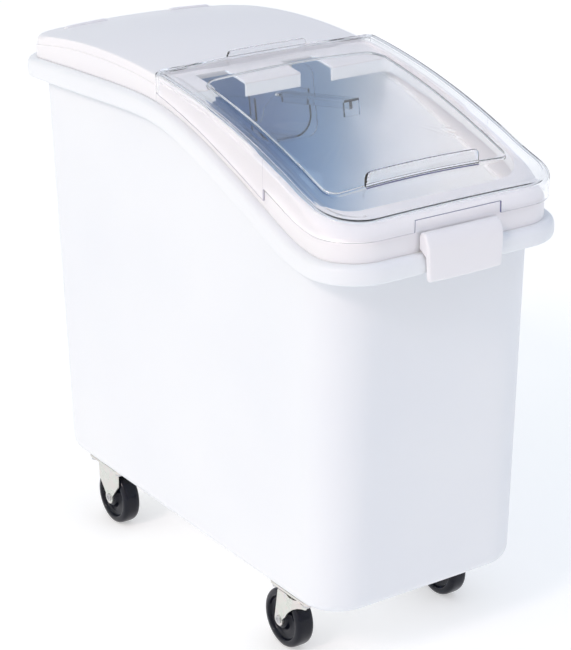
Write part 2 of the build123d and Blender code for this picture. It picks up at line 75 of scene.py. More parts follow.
def ramp(nt, fac, stops):
    r = nt.nodes.new("ShaderNodeValToRGB")
    el = r.color_ramp.elements
    while len(el) > 1:
        el.remove(el[-1])
    el[0].position = stops[0][0]
    el[0].color = tuple(stops[0][1]) + (1,)
    for p, c in stops[1:]:
        e = el.new(p)
        e.color = tuple(c) + (1,)
    nt.links.new(fac, r.inputs["Fac"])
    return r.outputs["Color"]


def maprange(nt, v, a0, a1, b0, b1):
    n = nt.nodes.new("ShaderNodeMapRange")
    n.inputs["From Min"].default_value = a0
    n.inputs["From Max"].default_value = a1
    n.inputs["To Min"].default_value = b0
    n.inputs["To Max"].default_value = b1
    nt.links.new(v, n.inputs["Value"])
    return n.outputs["Result"]


def bump(nt, height, strength, dist, prev=None):
    n = nt.nodes.new("ShaderNodeBump")
    n.inputs["Strength"].default_value = strength
    n.inputs["Distance"].default_value = dist
    nt.links.new(height, n.inputs["Height"])
    if prev is not None:
        nt.links.new(prev, n.inputs["Normal"])
    return n.outputs["Normal"]


def plastic(name, c0, c1, rough=(0.34, 0.46), sss=0.12, coat=0.0, grain=0.25, wave=0.12):
    """Satin moulded plastic: faint cloudy colour, fine grain, slow waviness of the wall."""
    m, nt, b = new_mat(name)
    v = texco(nt)
    big = noise(nt, v, 3.2, 2.0, 0.5)
    fine = noise(nt, v, 900.0, 2.0, 0.6)
    slow = noise(nt, v, 9.0, 1.0, 0.4)
    nt.links.new(ramp(nt, big.outputs["Fac"], [(0.3, c0), (0.7, c1)]), b.inputs["Base Color"])
    nt.links.new(maprange(nt, fine.outputs["Fac"], 0.3, 0.7, rough[0], rough[1]), b.inputs["Roughness"])
    n1 = bump(nt, slow.outputs["Fac"], wave, 0.004)
    n2 = bump(nt, fine.outputs["Fac"], grain, 0.00012, n1)
    nt.links.new(n2, b.inputs["Normal"])
    b.inputs["Subsurface Weight"].default_value = sss
    b.inputs["Subsurface Radius"].default_value = (1.0, 0.95, 0.9)
    b.inputs["Subsurface Scale"].default_value = 0.004
    b.inputs["Coat Weight"].default_value = coat
    b.inputs["Coat Roughness"].default_value = 0.12
    b.inputs["IOR"].default_value = 1.5
    return m


def clear(name, tint, shade, rough=0.03, ior=1.49):
    """Clear moulded plastic. Lamps light what is behind it, each face taking its share of their light."""
    m, nt, b = new_mat(name)
    v = texco(nt)
    fine = noise(nt, v, 60.0, 3.0, 0.55)
    slow = noise(nt, v, 14.0, 1.0, 0.4)
    nt.links.new(ramp(nt, slow.outputs["Fac"], [(0.3, tint), (0.7, tuple(min(1, c * 1.015) for c in tint))]), b.inputs["Base Color"])
    nt.links.new(maprange(nt, fine.outputs["Fac"], 0.3, 0.7, rough * 0.6, rough * 1.6), b.inputs["Roughness"])
    nt.links.new(bump(nt, slow.outputs["Fac"], 0.05, 0.002), b.inputs["Normal"])
    b.inputs["Transmission Weight"].default_value = 1.0
    b.inputs["IOR"].default_value = ior
    tr = nt.nodes.new("ShaderNodeBsdfTransparent")
    tr.inputs["Color"].default_value = tuple(shade) + (1,)
    lp = nt.nodes.new("ShaderNodeLightPath")
    mx = nt.nodes.new("ShaderNodeMixShader")
    nt.links.new(lp.outputs["Is Shadow Ray"], mx.inputs[0])
    nt.links.new(b.outputs["BSDF"], mx.inputs[1])
    nt.links.new(tr.outputs["BSDF"], mx.inputs[2])
    nt.links.new(mx.outputs["Shader"], nt.nodes["Material Output"].inputs["Surface"])
    return m


def metal(name, stops, rough=(0.22, 0.4), scale=55.0, grain=0.15):
    m, nt, b = new_mat(name)
    v = texco(nt)
    cloud = noise(nt, v, scale, 4.0, 0.6, 0.6)
    fine = noise(nt, v, 1400.0, 2.0, 0.6)
    nt.links.new(ramp(nt, cloud.outputs["Fac"], stops), b.inputs["Base Color"])
    nt.links.new(maprange(nt, cloud.outputs["Fac"], 0.3, 0.7, rough[0], rough[1]), b.inputs["Roughness"])
    nt.links.new(bump(nt, fine.outputs["Fac"], grain, 0.00005), b.inputs["Normal"])
    b.inputs["Metallic"].default_value = 1.0
    return m


MAT = {
    "tub": plastic("tub_plastic", (0.80, 0.83, 0.87), (0.84, 0.865, 0.89)),
    # painted shade: a bluish, darker copy of the tub plastic for inner faces and undersides (its base colour is
    # replaced below)
    "inside": plastic("tub_plastic_inside_painted_shade", (0.73, 0.83, 0.93), (0.76, 0.86, 0.955)),
    "lid": plastic("lid_plastic", (0.845, 0.84, 0.87), (0.87, 0.865, 0.885), rough=(0.28, 0.4)),
    "clear": clear("clear_plastic", (0.975, 0.98, 0.99), (0.965, 0.967, 0.972)),
    # painted reflection: opaque dark navy for the clear plastic's dark refracted lines
    "painted_dark_reflection": plastic("clear_plastic_painted_dark_reflection", (0.16, 0.17, 0.30), (0.20, 0.21, 0.34), rough=(0.1, 0.2), sss=0.0, coat=0.0),
    # painted shade: opaque grey for the clear skirt's cut end and lower edges
    "painted_edge_shade": plastic("clear_plastic_painted_edge_shade", (0.50, 0.49, 0.57), (0.54, 0.53, 0.61), rough=(0.15, 0.25), sss=0.0, coat=0.0),
    "scoop": clear("scoop_plastic", (0.94, 0.965, 0.985), (0.93, 0.945, 0.96), rough=0.04),
    "wheel": plastic("wheel_plastic", (0.002, 0.003, 0.008), (0.004, 0.005, 0.013), rough=(0.13, 0.22), sss=0.0, coat=0.0, grain=0.12),
    "zinc": metal("zinc_plate", [(0.25, (0.62, 0.66, 0.60)), (0.45, (0.70, 0.71, 0.66)), (0.6, (0.74, 0.69, 0.66)), (0.78, (0.62, 0.66, 0.70))]),
    "steel": metal("plain_steel", [(0.3, (0.50, 0.50, 0.50)), (0.7, (0.60, 0.60, 0.61))], rough=(0.25, 0.45)),
    "brass": metal("turned_brass", [(0.3, (0.66, 0.50, 0.22)), (0.7, (0.74, 0.58, 0.30))], rough=(0.25, 0.4)),
}
nt = MAT["inside"].node_tree                     # painted glow (emission) standing in for light through the thin wall, less of it towards the back, and painted shade: wall colour bluer and darker towards the back
b = nt.nodes["Principled BSDF"]
sx = nt.nodes.new("ShaderNodeSeparateXYZ")
nt.links.new(texco(nt), sx.inputs["Vector"])
# painted glow: emission on a surface that is no lamp, fading towards the back
painted_glow = ramp(nt, maprange(nt, sx.outputs["Y"], 0.36, -0.15, 0.0, 1.0),
            [(0.0, (0.003, 0.008, 0.02)), (0.25, (0.02, 0.04, 0.075)), (0.4, (0.05, 0.085, 0.13)), (0.53, (0.07, 0.10, 0.14)), (0.75, (0.18, 0.17, 0.15)), (1.0, (0.18, 0.15, 0.11))])
nt.links.new(painted_glow, b.inputs["Emission Color"])
# painted shade: base colour bluer and darker towards the back
wall = ramp(nt, maprange(nt, sx.outputs["Y"], 0.36, -0.15, 0.0, 1.0),
            [(0.0, (0.20, 0.32, 0.55)), (0.2, (0.30, 0.43, 0.66)), (0.4, (0.50, 0.64, 0.82)), (0.55, (0.62, 0.75, 0.88)), (0.75, (0.76, 0.83, 0.92)), (1.0, (0.80, 0.86, 0.93))])
nt.links.new(wall, b.inputs["Base Color"])
b.inputs["Emission Strength"].default_value = 1.0
MAT["wheel"].node_tree.nodes["Principled BSDF"].inputs["Specular IOR Level"].default_value = 0.28
BY_SLOT = {"white_pe": "tub", "white_lid": "lid", "clear": "clear", "clear_scoop": "scoop", "wheel_black": "wheel",
           "zinc": "zinc", "steel": "steel", "brass": "brass"}
SLOT_OF = {s["node"]: s["material_slot"] for s in frame["record"]["subparts"]}
for n, o in NODES.items():
    mat = MAT[BY_SLOT[SLOT_OF[n]]]
    o.data.materials.clear()
    o.data.materials.append(mat)

# ---------------------------------------------------------------- mesh helpers (plan frame, mm)
def curve(pts):
    """Natural cubic spline z(y) through (y, z) points."""
    p = sorted(pts)
    xs = np.array([a for a, _ in p], float)
    ys = np.array([b for _, b in p], float)
    n = len(xs)
    h = np.diff(xs)
    A = np.zeros((n, n))
    r = np.zeros(n)
    A[0, 0] = A[-1, -1] = 1
    for i in range(1, n - 1):
        A[i, i - 1], A[i, i], A[i, i + 1] = h[i - 1], 2 * (h[i - 1] + h[i]), h[i]
        r[i] = 6 * ((ys[i + 1] - ys[i]) / h[i] - (ys[i] - ys[i - 1]) / h[i - 1])
    M = np.linalg.solve(A, r)

    def f(y):
        y = min(max(y, xs[0]), xs[-1])
        i = min(int(np.searchsorted(xs, y, side="right")) - 1, n - 2)
        i = max(i, 0)
        a, b, hh = xs[i + 1] - y, y - xs[i], h[i]
        return float(M[i] * a ** 3 / (6 * hh) + M[i + 1] * b ** 3 / (6 * hh)
                     + (ys[i] / hh - M[i] * hh / 6) * a + (ys[i + 1] / hh - M[i + 1] * hh / 6) * b)
    return f


def steps(*lists):
    return sorted(set(round(v, 6) for l in lists for v in l))


def lin(a, b, n):
    return [a + (b - a) * i / n for i in range(n + 1)]


def ring(P, fx, fy, nc=14, rear=None):
    """Points of a rounded rectangle, counter-clockwise from the front left, at given fractions of its sides."""
    hw, y0, y1, rf, rr = P
    rf, rr = max(rf, 0.05), max(rr, 0.05)
    out = [(-(hw - rf) + 2 * (hw - rf) * f, y0) for f in fx]
    ca = [90.0 * i / nc for i in range(1, nc)]
    cr = rear or ca
    out += [(hw - rf + rf * math.sin(math.radians(a)), y0 + rf - rf * math.cos(math.radians(a))) for a in ca]
    out += [(hw, y0 + rf + (y1 - rr - y0 - rf) * f) for f in fy]
    out += [(hw - rr + rr * math.cos(math.radians(a)), y1 - rr + rr * math.sin(math.radians(a))) for a in cr]
    out += [((hw - rr) - 2 * (hw - rr) * f, y1) for f in fx]
    out += [(-(hw - rr) - rr * math.sin(math.radians(a)), y1 - rr + rr * math.cos(math.radians(a))) for a in [90 - c for c in reversed(cr)]]
    out += [(-hw, y1 - rr - (y1 - rr - y0 - rf) * f) for f in [1 - g for g in reversed(fy)]]
    out += [(-(hw - rf) - rf * math.cos(math.radians(a)), y0 + rf - rf * math.sin(math.radians(a))) for a in ca]
    return out


def mix(A, B, t):
    return [(a[0] + (b[0] - a[0]) * t, a[1] + (b[1] - a[1]) * t) for a, b in zip(A, B)]


class Build:
    """Collects rings of points into one mesh, in millimetres of the plan frame."""

    def __init__(self):
        self.v, self.f = [], []

    def add(self, pts):
        i = len(self.v)
        self.v += [tuple(p) for p in pts]
        return list(range(i, i + len(pts)))

    def loft(self, rows, closed_rows=False, cap0=False, cap1=False, flip=False):
        ids = [self.add(r) for r in rows]
        n = len(ids[0])
        pairs = list(zip(ids, ids[1:])) + ([(ids[-1], ids[0])] if closed_rows else [])
        for a, b in pairs:
            for i in range(n):
                j = (i + 1) % n
                q = (a[i], a[j], b[j], b[i])
                self.f.append(q[::-1] if flip else q)
        if cap0:
            self.f.append(tuple(ids[0]) if flip else tuple(reversed(ids[0])))
        if cap1:
            self.f.append(tuple(reversed(ids[-1])) if flip else tuple(ids[-1]))
        return ids

    def prism(self, outline, x0, x1, r=0.6, n=3, axis="x"):
        """Closed outline swept along one axis with rounded ends. The outline goes round so that its caps face out."""
        cy = sum(p[0] for p in outline) / len(outline)
        cz = sum(p[1] for p in outline) / len(outline)

        def inset(d):
            m = len(outline)
            out = []
            for i in range(m):
                (a0, b0), (a1, b1), (a2, b2) = outline[i - 1], outline[i], outline[(i + 1) % m]
                e1, e2 = Vector((a1 - a0, b1 - b0)), Vector((a2 - a1, b2 - b1))
                if e1.length < 1e-9 or e2.length < 1e-9:
                    out.append((a1, b1))
                    continue
                e1.normalize(), e2.normalize()
                n1, n2 = Vector((-e1.y, e1.x)), Vector((-e2.y, e2.x))
                nn = (n1 + n2)
                if nn.length < 1e-6:
                    out.append((a1, b1))
                    continue
                nn.normalize()
                k = 1.0 / max(0.5, nn.dot(n1))
                out.append((a1 + nn.x * d * k * self.side, b1 + nn.y * d * k * self.side))
            return out
        area = sum(a[0] * b[1] - b[0] * a[1] for a, b in zip(outline, outline[1:] + outline[:1]))
        self.side = 1 if area > 0 else -1
        put = (lambda u, p: (u, p[0], p[1])) if axis == "x" else ((lambda u, p: (p[0], u, p[1])) if axis == "y" else (lambda u, p: (p[0], p[1], u)))
        rows = [[put(x0 + r * (1 - math.cos(math.pi / 2 * i / n)), p) for p in inset(r * (1 - math.sin(math.pi / 2 * i / n)))] for i in range(n + 1)]
        rows += [[put(x1 - r * (1 - math.cos(math.pi / 2 * i / n)), p) for p in inset(r * (1 - math.sin(math.pi / 2 * i / n)))] for i in range(n, -1, -1)]
        self.loft(rows, cap0=True, cap1=True)
        return self

    def lathe(self, profile, centre, axis="x", n=72):
        """Turned shape from (position along the axis, radius) points."""
        rows = []
        for k in range(n):
            a = 2 * math.pi * k / n
            if axis == "x":
                rows.append([(centre[0] + u, centre[1] + r * math.cos(a), centre[2] + r * math.sin(a)) for u, r in profile])
            else:
                rows.append([(centre[0] + r * math.cos(a), centre[1] + r * math.sin(a), centre[2] + u) for u, r in profile])
        ids = [self.add(r) for r in rows]
        m = len(profile)
        for k in range(n):
            a, b = ids[k], ids[(k + 1) % n]
            for i in range(m - 1):
                self.f.append((a[i], a[i + 1], b[i + 1], b[i]))
        return self

    def obj(self, name, mat, body, node=None, solid=0.0, weld=0.0005, angle=34, bevel=0.0, recalc=False):
        me = bpy.data.meshes.new(name)
        me.from_pydata([(x * 0.001, y * 0.001 + YS, z * 0.001 + ZS) for x, y, z in self.v], [], self.f)
        bm = bmesh.new()
        bm.from_mesh(me)
        bmesh.ops.remove_doubles(bm, verts=bm.verts, dist=weld * 0.001)
        bmesh.ops.dissolve_degenerate(bm, edges=bm.edges, dist=1e-7)
        if recalc:
            bmesh.ops.recalc_face_normals(bm, faces=bm.faces)
        bm.to_mesh(me)
        bm.free()
        o = bpy.data.objects.new(name, me)
        bpy.context.scene.collection.objects.link(o)
        me.materials.append(mat)
        if solid:
            md = o.modifiers.new("wall", "SOLIDIFY")
            md.thickness = solid * 0.001
            md.offset = -1
            md.use_even_offset = True
            md.use_quality_normals = True
            md.use_rim = True
        if bevel:
            md = o.modifiers.new("edges", "BEVEL")
            md.width = bevel * 0.001
            md.segments = 3
            md.limit_method = "ANGLE"
            md.angle_limit = math.radians(40)
            md.harden_normals = True
        apply_all(o)
        o.data.shade_smooth()
        o.data.set_sharp_from_angle(angle=math.radians(angle))
        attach(o, body)
        if node:
            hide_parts(*([node] if isinstance(node, str) else node))
        return o


def apply_all(o):
    dg = bpy.context.evaluated_depsgraph_get()
    me = bpy.data.meshes.new_from_object(o.evaluated_get(dg), depsgraph=dg)
    old = o.data
    o.modifiers.clear()
    o.data = me
    me.name = o.name
    bpy.data.meshes.remove(old)


# ---------------------------------------------------------------- driving curves, as in the part
RIM_TOP = curve([(380, 630.5), (298, 635.5), (220, 639.5), (146, 642.8), (75, 644.5), (30, 643.2), (0, 640.0),
                 (-34, 633.5), (-89, 618.0), (-133, 602.5), (-180, 584.5), (-220, 567.5), (-250, 555.5),
                 (-275, 547.5), (-300, 543.2), (-330, 542.0), (-385, 542.0)])
RIM_LOW = curve([(380, 606.0), (315, 609.5), (274, 611.5), (200, 615.0), (139, 618.0), (75, 620.6), (35, 620.8),
                 (0, 617.8), (-34, 611.0), (-80, 596.5), (-130, 578.5), (-180, 559.5), (-220, 542.0),
                 (-249, 530.5), (-275, 523.5), (-300, 520.2), (-330, 519.5), (-385, 519.5)])
SKIRT_REAR = curve([(30, 660.0), (16, 657.0), (-43, 643.0), (-89, 629.5), (-133, 614.5), (-177, 598.0), (-214, 583.5), (-222, 580.3)])
SKIRT_FRONT = curve([(-205, 599.8), (-217, 596.0), (-239, 588.0), (-270, 576.5), (-300, 569.5), (-330, 567.2), (-380, 567.0)])
FLAT = curve([(-236, 611.95), (-250, 606.9), (-270, 599.2), (-290, 592.3), (-310, 586.3), (-330, 581.2), (-350, 577.2), (-385, 572.0)])
R_STEP, R_FRAME, R_RAIL, CROWN, CW = 1077.0, 1084.5, 1088.0, 6.5, 152.3


def lidz(y, r):
    """Height of the lid surface of radius r at y: an arc that flattens out towards the front."""
    arc = -409.0 + math.sqrt(r * r - (y - 130.0) ** 2)
    if y > -228:
        return arc
    fl = FLAT(max(y, -384.9)) + (r - R_FRAME) * 1.085
    w = min(1.0, max(0.0, (-228 - y) / 16.0))
    w = w * w * (3 - 2 * w)
    return arc * (1 - w) + fl * w


def crown(x):
    return 1 - (x / CW) ** 2


def rows_of(rings, zs):
    return [[(x, y, z(x, y)) for x, y in r] for r, z in zip(rings, zs)]


# ---------------------------------------------------------------- tub
FX, FY, NC = lin(0, 1, 14), lin(0, 1, 64), 16


def tub_plan(z, w):
    t = (z - 94.0) / 566.0
    hw, hl, r, yc = 148.7 + 5.6 * t, 317.5 + 24.8 * t, 54.0 + 11.8 * t, -4.0 * (1 - t)
    return (hw - w, yc - hl + w, yc + hl - w, r - w, r - w)


def tub_row(w, z):
    """Ring of the tub wall, w inside the outer face, at height z (a number or a function of y)."""
    if not callable(z):
        return [(x, y, z) for x, y in ring(tub_plan(z, w), FX, FY, NC)]
    A, B = ring(tub_plan(400, w), FX, FY, NC), ring(tub_plan(660, w), FX, FY, NC)
    out = []
    for a, b in zip(A, B):
        y = a[1]
        for _ in range(3):
            h = z(y)
            t = (h - 400) / 260
            x, y = a[0] + (b[0] - a[0]) * t, a[1] + (b[1] - a[1]) * t
        out.append((x, y, h))
    return out


def rim_row(o, z):
    return [(x, y, z(y)) for x, y in ring((166.5 - o, -371.5 + o, 371.5 - o, 64.5 - o, 64.5 - o), FX, FY, NC)]


g = Build()
q = [0, 15, 30, 45, 60, 75, 90]
rows = [tub_row(w, 94.0) for w in (110, 70, 40, 22)]
rows += [tub_row(16 * (1 - math.sin(math.radians(a))), 94 + 16 * (1 - math.cos(math.radians(a)))) for a in q]
rows += [tub_row(0, z) for z in (130, 160, 200, 250, 300, 350, 400, 450, 490)]
rows += [tub_row(0, lambda y, t=t: 490 + (RIM_LOW(y) - 490) * t) for t in (0.4, 0.8, 1.0)]
rows += [tub_row(0, lambda y: RIM_TOP(y) - 12), tub_row(0, lambda y: RIM_TOP(y) - 7.0), tub_row(-0.8, lambda y: RIM_TOP(y) - 5.6), tub_row(-2.4, lambda y: RIM_TOP(y) - 5.0)]
rows += [rim_row(7.4, lambda y: RIM_TOP(y) - 5.0), rim_row(5.7, lambda y: RIM_TOP(y) - 5.6), rim_row(5.0, lambda y: RIM_TOP(y) - 7.2),
         rim_row(5.0, lambda y: RIM_LOW(y) + 1.0), rim_row(4.75, lambda y: RIM_LOW(y) + 0.3)]
rows += [rim_row(4.2 - 4.2 * math.sin(math.radians(a)) + 0.55, lambda y, a=a: RIM_LOW(y) + 4.2 - 4.2 * math.cos(math.radians(a))) for a in (4, 18, 36, 54, 72, 88)]
for k in range(1, 8):
    s = k / 8.0
    rows.append(rim_row(0.62 * (2 * s - 1) ** 2, lambda y, s=s: (RIM_LOW(y) + 4.2) * (1 - s) + (RIM_TOP(y) - 8.0) * s))
rows += [rim_row(0.6 + 8 * (1 - math.cos(math.radians(a))), lambda y, a=a: RIM_TOP(y) - 8 + 8 * math.sin(math.radians(a))) for a in (4, 15, 27, 39, 51, 63, 75, 86)]
rows += [rim_row(11.0, lambda y: RIM_TOP(y) + 0.0)]
rows += [tub_row(w, lambda y, d=d: RIM_TOP(y) - d) for w, d in ((1.6, 0.0), (2.6, 0.1), (3.4, 0.5), (3.85, 1.2), (4.0, 2.2))]
rows += [tub_row(4.0, lambda y, t=t: (RIM_TOP(y) - 2.2) * (1 - t) + 480 * t) for t in (0.1, 0.35, 0.7, 1.0)]
rows += [tub_row(4.0, z) for z in (430, 370, 310, 250, 190, 150, 125)]
rows += [tub_row(4 + 12 * (1 - math.sin(math.radians(a))), 99.5 + 12 * (1 - math.cos(math.radians(a)))) for a in reversed(q)]
rows += [tub_row(w, 99.5) for w in (22, 40, 70, 110)]
g.loft(rows, cap0=True, cap1=True)
for cx, cy in ((-117, -229), (117, -229), (-117, 211), (117, 211)):
    pr = []
    for o, z in ((0, 99.0), (0, 107.7), (0.25, 108.6), (0.9, 109.25), (1.8, 109.5), (12, 109.5)):
        pr.append([(x + cx, y + cy, z) for x, y in ring((25 - o, -39 + o, 39 - o, 8 - o, 8 - o), [0, 1], [0, 1], 6)])
    g.loft(pr, cap0=True, cap1=True)
tub = g.obj("tub", MAT["tub"], "tub", "tub_body", recalc=False)
tub.data.materials.append(MAT["inside"])
# painted shade: inner wall faces below the rim and the floor inside take the bluish, darker painted-shade material
for f in tub.data.polygons:
    c, nrm = f.center, f.normal
    px, py = c.x * 1000, (c.y - YS) * 1000
    pz = (c.z - ZS) * 1000
    away = nrm.x * px + nrm.y * (py + 4) < 0 and (nrm.z > -0.3)
    if (away and abs(nrm.z) < 0.6 and pz < RIM_TOP(py) - 1.5 and abs(px) < 152 and abs(py) < 340) or (nrm.z > 0.5 and pz < 115):
        f.material_index = 1

# ---------------------------------------------------------------- white lid
LFX, LFY = lin(0, 1, 22), lin(0, 1, 60)


def slope_z(x, y):
    """Height of the sloping shoulder in front, under the path of the clear lid's front skirt."""
    ax = abs(x)
    if ax <= 104.5:
        y0 = -359.1
    elif ax < 156.5:
        y0 = -307 - math.sqrt(max(0.0, 52.1 ** 2 - (ax - 104.5) ** 2))
    else:
        y0 = -307.0
    return 566.2 + 0.5774 * (y - y0)


def frame_z(x, y):
    a, b = lidz(y, R_FRAME), slope_z(x, y)
    k = 2.5                                   # softened minimum
    h = max(0.0, min(1.0, 0.5 + 0.5 * (b - a) / k))
    return (b * (1 - h) + a * h) - k * h * (1 - h) if y < -200 else a


T = 2.6                                        # wall of the lids
rg = lambda P: ring(P, LFX, LFY, 16)


class Rings:
    """Rings of one shell, from its lower outer edge over the top and back along the inside."""

    def __init__(self):
        self.rows = []

    def put(self, plan, z):
        self.rows.append([(x, y, z(x, y)) for x, y in plan])


W = lambda o: rg((154 - o, -358.6 + o, 20 - min(o, 1.4), 51.6 - o, 1.2))
O = lambda o: rg((144 + o, -313 - o, -37 + o, 50 + o, 12 + o))
inner_edge = lambda x, y: y > 18.0 and abs(x) < 150
bot = lambda d: (lambda x, y: (frame_z(x, y) - 6.0 + d) if inner_edge(x, y) else RIM_TOP(y) + 0.3 + d)
top = lambda d: (lambda x, y: frame_z(x, y) - d)
R = Rings()
R.put(W(0.5), bot(0)), R.put(W(0.1), bot(0.12)), R.put(W(0), bot(0.5)), R.put(W(0), bot(3.0))
for a in (0, 15, 30, 45, 60, 75, 90):
    R.put(W(2.2 * (1 - math.cos(math.radians(a)))), top(2.2 * (1 - math.sin(math.radians(a)))))
for t in (0.03, 0.08, 0.14, 0.2, 0.28, 0.36, 0.45, 0.55, 0.65, 0.75, 0.85, 0.93, 0.98):
    R.put(mix(W(2.2), O(1.6), t), top(0.0))
for a in (0, 20, 40, 60, 80, 90):
    R.put(O(1.6 - 1.6 * math.sin(math.radians(a))), top(1.6 * (1 - math.cos(math.radians(a)))))
for d in (4.5, 8, 12, 16.2):
    R.put(O(0), top(d))
R.put(O(0.25), top(16.8)), R.put(O(1.3), top(17.0)), R.put(O(2.35), top(16.8)), R.put(O(T), top(16.2)), R.put(O(T), top(9.0)), R.put(O(T), top(3.4)), R.put(O(T + 0.5), top(T))
for t in (0.1, 0.3, 0.5, 0.7, 0.9):
    R.put(mix(O(T), W(T), t), top(T))
R.put(W(T + 0.5), top(T)), R.put(W(T), top(3.4)), R.put(W(T), bot(1.0)), R.put(W(T - 0.5), bot(0))
g = Build()
g.loft(R.rows, closed_rows=True)
lid_front = g.obj("lid_frame", MAT["lid"], "lid", None)
cutters = []
for x0, x1 in ((-107, -64), (14, 60)):              # notches in the opening's rear edge
    me_ = bpy.data.meshes.new("notch_cut")
    me_.from_pydata([(x * 0.001, y * 0.001 + YS, z * 0.001 + ZS) for x in (x0, x1) for y in (-60.0, 8.0) for z in (600.0, 700.0)], [],
                    [(0, 1, 3, 2), (4, 6, 7, 5), (0, 4, 5, 1), (2, 3, 7, 6), (0, 2, 6, 4), (1, 5, 7, 3)])
    co_ = bpy.data.objects.new("notch_cut", me_)
    bpy.context.scene.collection.objects.link(co_)
    cutters.append(co_)
    md = lid_front.modifiers.new("notch", "BOOLEAN")
    md.operation = "DIFFERENCE"
    md.solver = "EXACT"
    md.object = co_
md = lid_front.modifiers.new("edges", "BEVEL")
md.width = 0.0007
md.segments = 2
md.limit_method = "ANGLE"
md.angle_limit = math.radians(60)
apply_all(lid_front)
for co_ in cutters:
    me_ = co_.data
    bpy.data.objects.remove(co_)
    bpy.data.meshes.remove(me_)
lid_front.data.materials.append(MAT["inside"])
for f in lid_front.data.polygons:                   # underside and turned-down lip take the painted-shade material
    c, nrm = f.center, f.normal
    x, y, z = c.x * 1000, (c.y - YS) * 1000, (c.z - ZS) * 1000
    inward = abs(nrm.z) < 0.7 and abs(x) < 147 and -318 < y < 10 and z < frame_z(x, y) - 3.0
    if nrm.z < -0.5 or inward:
        f.material_index = 1
lid_front.data.shade_smooth()
lid_front.data.set_sharp_from_angle(angle=math.radians(34))

# side rails
g = Build()
for sx in (-1, 1):
    rr = []
    for y in lin(-190, 21, 26):
        e = min(1.0, (y + 190) / 6.0) ** 0.5 if y < -184 else 1.0
        tp = lidz(y, R_FRAME + (3.5 + 0.4) * e)
        b = lidz(y, R_FRAME) - 1.0
        rr.append([(sx * 145.0, y, b), (sx * 145.0, y, tp - 1.0), (sx * 145.4, y, tp - 0.3), (sx * 146.2, y, tp), (sx * 151.0, y, tp),
                   (sx * 151.8, y, tp - 0.3), (sx * 152.3, y, tp - 1.0), (sx * 152.3, y, b)])
    g.loft(rr, cap0=True, cap1=True)
rails = g.obj("lid_rails", MAT["lid"], "lid", None, recalc=True)

# rear cover
cover_z = lambda x, y: lidz(y, R_RAIL + CROWN * crown(x))
step_z = lambda x, y: lidz(y, R_STEP)
W2 = lambda o: rg((154 - o, 20 + min(o, 0.3), 358.6 - o, 1.2, 51.6 - o))
C = lambda o: rg((152.3 - o, 20.4 + min(o, 6.0) * 0.4, 357 - o, 1.2, 50 - o))
edge_r = lambda y: 1.5 if y < 296 else (6.5 if y > 300 else 1.5 + 5.0 * (y - 296) / 4)


def inset(o, top_of):
    """Ring of the cover o times its edge radius in from the outline."""
    return [(p[0] + (q_[0] - p[0]) * o * edge_r(p[1]) / 8.0, p[1] + (q_[1] - p[1]) * o * edge_r(p[1]) / 8.0) for p, q_ in zip(C(0), C(8))]


bot = lambda d: (lambda x, y: (step_z(x, y) - 3.5 + d) if y < 22 and abs(x) < 150 else RIM_TOP(y) + 0.3 + d)
R = Rings()
R.put(W2(0.5), bot(0)), R.put(W2(0.1), bot(0.12)), R.put(W2(0), bot(0.5)), R.put(W2(0), bot(2.5))
for a in (0, 18, 36, 54, 72, 90):
    R.put(W2(0.9 * (1 - math.cos(math.radians(a)))), lambda x, y, a=a: step_z(x, y) - 1.6 * (1 - math.sin(math.radians(a))))
R.put(W2(1.3), step_z), R.put(C(-0.2), lambda x, y: step_z(x, y) + 0.02), R.put(C(-0.05), lambda x, y: step_z(x, y) + 0.2), R.put(C(0), lambda x, y: step_z(x, y) + 0.6)
base = C(0)
for a in (0, 15, 30, 45, 60, 75, 90):
    pl = inset(1 - math.cos(math.radians(a)), None)
    R.rows.append([(x, y, cover_z(x, y) - edge_r(b_[1]) * (1 - math.sin(math.radians(a)))) for (x, y), b_ in zip(pl, base)])
MID = rg((3, 182, 196, 1.0, 1.0))
for t in (0.0, 0.05, 0.12, 0.2, 0.3, 0.4, 0.5, 0.6, 0.7, 0.8, 0.9, 0.97):
    R.put(mix(C(8), MID, t), cover_z)
n_top = len(R.rows)
for t in (0.97, 0.75, 0.5, 0.25, 0.0):
    R.put(mix(C(8), MID, t), lambda x, y: cover_z(x, y) - 2.8)
R.put(C(4.2), lambda x, y: cover_z(x, y) - 3.6), R.put(C(3.0), lambda x, y: cover_z(x, y) - 6.0), R.put(C(2.8), lambda x, y: step_z(x, y) - 2.4)
R.put(W2(3.6), lambda x, y: step_z(x, y) - 3.0), R.put(W2(2.8), lambda x, y: step_z(x, y) - 3.6), R.put(W2(2.8), bot(1.0)), R.put(W2(2.3), bot(0))
g = Build()
ids = g.loft(R.rows[:n_top], cap1=True)
ids2 = g.loft(R.rows[n_top:], cap0=True)
n_ = len(ids[0])
for i in range(n_):
    j = (i + 1) % n_
    g.f.append((ids2[-1][i], ids2[-1][j], ids[0][j], ids[0][i]))
lid_rear = g.obj("lid_cover", MAT["lid"], "lid", None)

